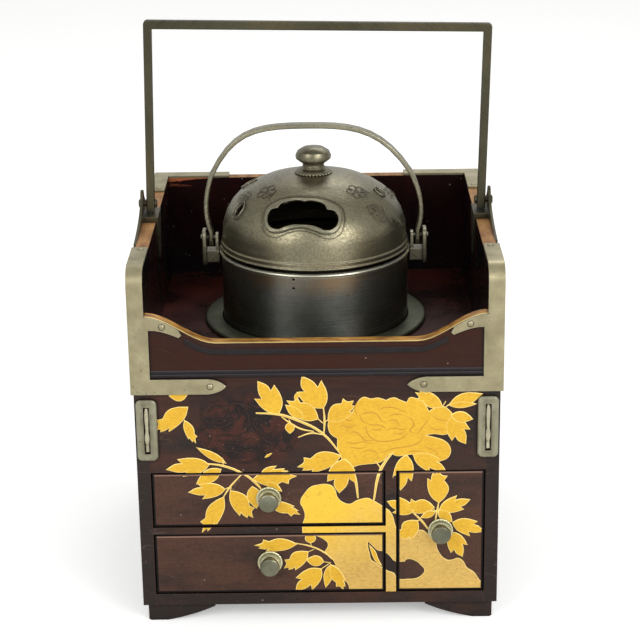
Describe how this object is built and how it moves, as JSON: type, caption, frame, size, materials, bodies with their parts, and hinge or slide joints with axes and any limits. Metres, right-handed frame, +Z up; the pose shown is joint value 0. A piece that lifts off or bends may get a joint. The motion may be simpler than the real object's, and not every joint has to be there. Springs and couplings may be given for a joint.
{
  "type": "smoking cabinet",
  "caption": "Lacquered smoking cabinet with an open tray, drawers, metal corner mounts, a lidded fire bowl with a bail, fold-out pipe rests and a hinged carrying handle.",
  "frame": {"origin": "middle of the bounding box's underside, under the soles of the feet", "axes": "+Z up, front with the drawers towards -Y, right-hand side of the front view towards +X"},
  "size_m": [0.2108, 0.2132, 0.3331],
  "materials": {
    "lacquer": "glossy brown-black lacquer, gold pictures",
    "tray_lacquer": "glossy dark red lacquer",
    "drawer_wood": "plain thin wood",
    "pale_metal": "satin, pale grey-beige",
    "grey_metal": "satin, darker grey"
  },
  "bodies": {
    "case": {"case_side_left": "lacquer", "case_side_right": "lacquer", "case_back": "lacquer", "case_bottom": "lacquer", "drawer_partition": "lacquer", "drawer_shelf": "lacquer", "dust_board": "lacquer", "front_fascia": "lacquer", "tray_floor": "tray_lacquer", "gallery_front": "lacquer", "foot_front_left": "lacquer", "foot_front_right": "lacquer", "foot_back_left": "lacquer", "foot_back_right": "lacquer", "corner_mount_front_left": "pale_metal", "corner_mount_front_right": "pale_metal", "corner_mount_back_left": "pale_metal", "corner_mount_back_right": "pale_metal", "pipe_rest_plate_left": "pale_metal", "pipe_rest_plate_right": "pale_metal", "pipe_rest_pin_left": "pale_metal", "pipe_rest_pin_right": "pale_metal", "handle_bracket_left": "grey_metal", "handle_bracket_right": "grey_metal", "handle_pin_left": "grey_metal", "handle_pin_right": "grey_metal", "well_liner": "pale_metal"},
    "carry_handle": {"carry_handle": "grey_metal"},
    "fire_bowl": {"fire_bowl": "grey_metal", "bowl_lug_left": "grey_metal", "bowl_lug_right": "grey_metal", "bail_pin_left": "grey_metal", "bail_pin_right": "grey_metal"},
    "bowl_lid": {"bowl_lid": "grey_metal", "lid_knob": "grey_metal"},
    "bail": {"bail": "grey_metal"},
    "upper_drawer": {"upper_drawer_front": "lacquer", "upper_drawer_side_left": "drawer_wood", "upper_drawer_side_right": "drawer_wood", "upper_drawer_back": "drawer_wood", "upper_drawer_bottom": "drawer_wood", "upper_drawer_rosette": "pale_metal", "upper_drawer_pull": "pale_metal"},
    "lower_drawer": {"lower_drawer_front": "lacquer", "lower_drawer_side_left": "drawer_wood", "lower_drawer_side_right": "drawer_wood", "lower_drawer_back": "drawer_wood", "lower_drawer_bottom": "drawer_wood", "lower_drawer_rosette": "pale_metal", "lower_drawer_pull": "pale_metal"},
    "tall_drawer": {"tall_drawer_front": "lacquer", "tall_drawer_side_left": "drawer_wood", "tall_drawer_side_right": "drawer_wood", "tall_drawer_back": "drawer_wood", "tall_drawer_bottom": "drawer_wood", "tall_drawer_rosette": "pale_metal", "tall_drawer_pull": "pale_metal"},
    "pipe_rest_left": {"pipe_rest_left": "pale_metal"},
    "pipe_rest_right": {"pipe_rest_right": "pale_metal"}
  },
  "joints": [
    {"name": "carry_handle_hinge", "type": "hinge", "parent": "case", "child": "carry_handle", "pos_m": [0, 0.00695, 0.2233], "axis": [1, 0, 0], "range_deg": [-90, 90]},
    {"name": "fire_bowl_lift", "type": "slide", "parent": "case", "child": "fire_bowl", "axis": [0, 0, 1], "range_m": [0, 0.052]},
    {"name": "bowl_lid_lift", "type": "slide", "parent": "fire_bowl", "child": "bowl_lid", "axis": [0, 0, 1], "range_m": [0, 0.01]},
    {"name": "bail_hinge", "type": "hinge", "parent": "fire_bowl", "child": "bail", "pos_m": [-0.001, 0.00695, 0.2017], "axis": [1, 0, 0], "range_deg": [-90, 90]},
    {"name": "upper_drawer_slide", "type": "slide", "parent": "case", "child": "upper_drawer", "axis": [0, -1, 0], "range_m": [0, 0.15]},
    {"name": "lower_drawer_slide", "type": "slide", "parent": "case", "child": "lower_drawer", "axis": [0, -1, 0], "range_m": [0, 0.15]},
    {"name": "tall_drawer_slide", "type": "slide", "parent": "case", "child": "tall_drawer", "axis": [0, -1, 0], "range_m": [0, 0.15]},
    {"name": "pipe_rest_left_hinge", "type": "hinge", "parent": "case", "child": "pipe_rest_left", "pos_m": [-0.09575, -0.09975, 0.1083], "axis": [1, 0, 0], "range_deg": [0, 90]},
    {"name": "pipe_rest_right_hinge", "type": "hinge", "parent": "case", "child": "pipe_rest_right", "pos_m": [0.09575, -0.09975, 0.1083], "axis": [1, 0, 0], "range_deg": [0, 90]}
  ]
}
